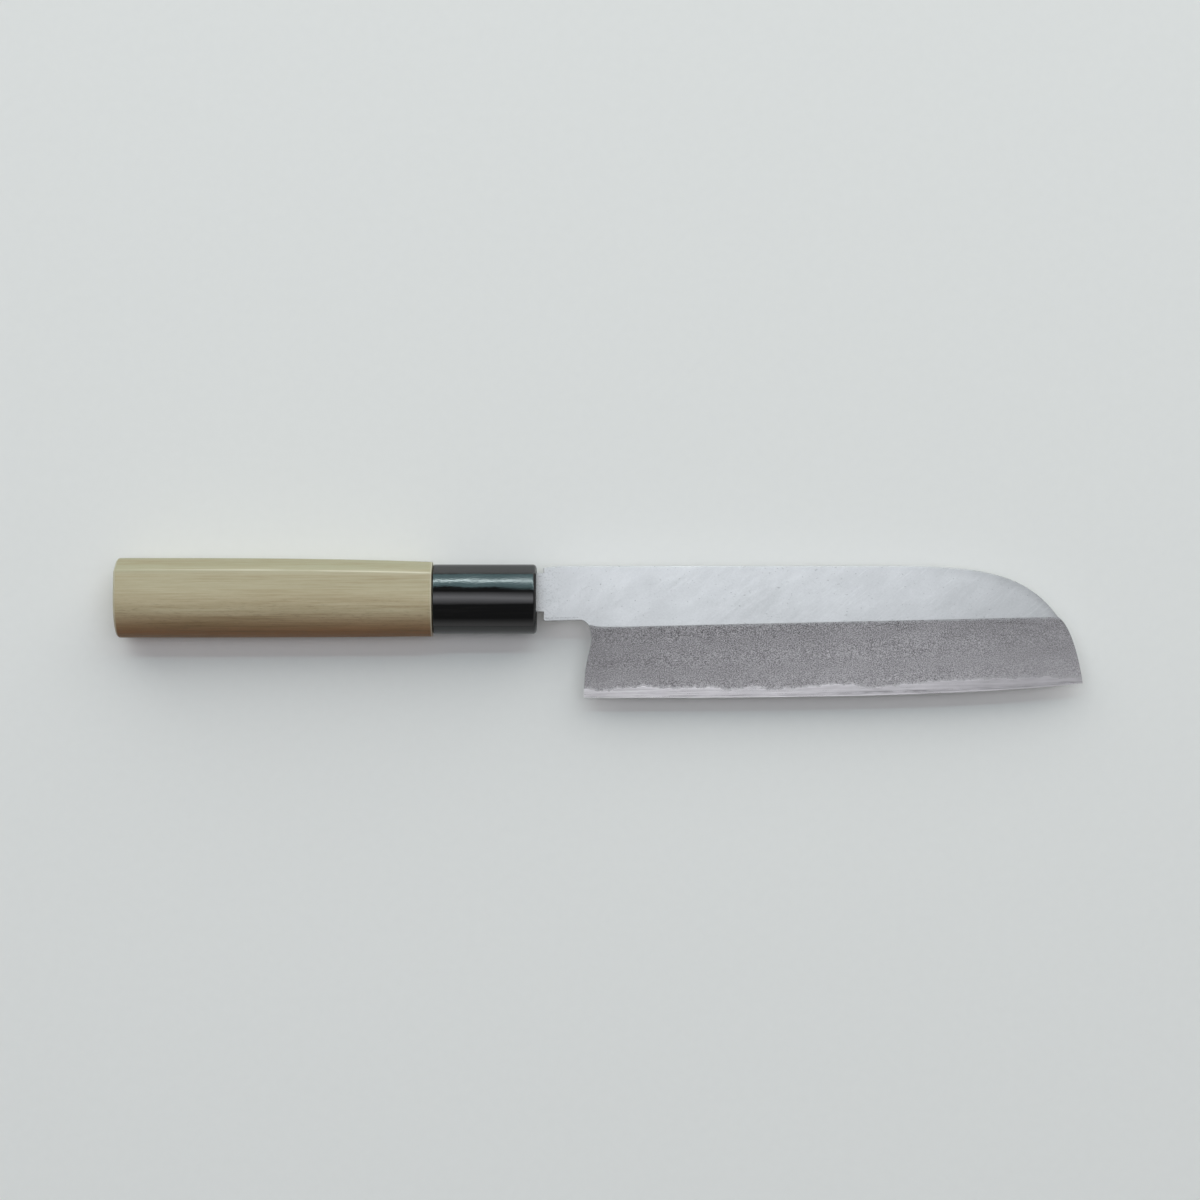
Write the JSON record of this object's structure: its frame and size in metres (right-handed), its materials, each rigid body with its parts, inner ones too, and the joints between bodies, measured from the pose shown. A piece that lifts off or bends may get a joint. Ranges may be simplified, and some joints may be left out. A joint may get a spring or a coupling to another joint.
{
  "type": "usuba knife",
  "caption": "Vegetable knife with a tall single-bevel laminated blade, rounded nose, black collar and ridged oval wood handle, lying on its side.",
  "frame": {"origin": "middle of the knife's length and height, on the plane it lies on", "axes": "+X from the butt to the tip, +Y from the cutting edge to the spine, +Z out of the bevelled front of the blade"},
  "size_m": [0.3194, 0.0464, 0.021],
  "materials": {
    "ho_wood": "bare, finely sanded, straight lengthwise grain",
    "black_horn": "polished black",
    "soft_iron": "pale satin flat, grey misted bevel",
    "hard_steel": "fine satin"
  },
  "bodies": {
    "root": {"handle": "ho_wood", "ferrule": "black_horn", "blade_jigane": "soft_iron", "blade_hagane": "hard_steel"}
  },
  "joints": []
}
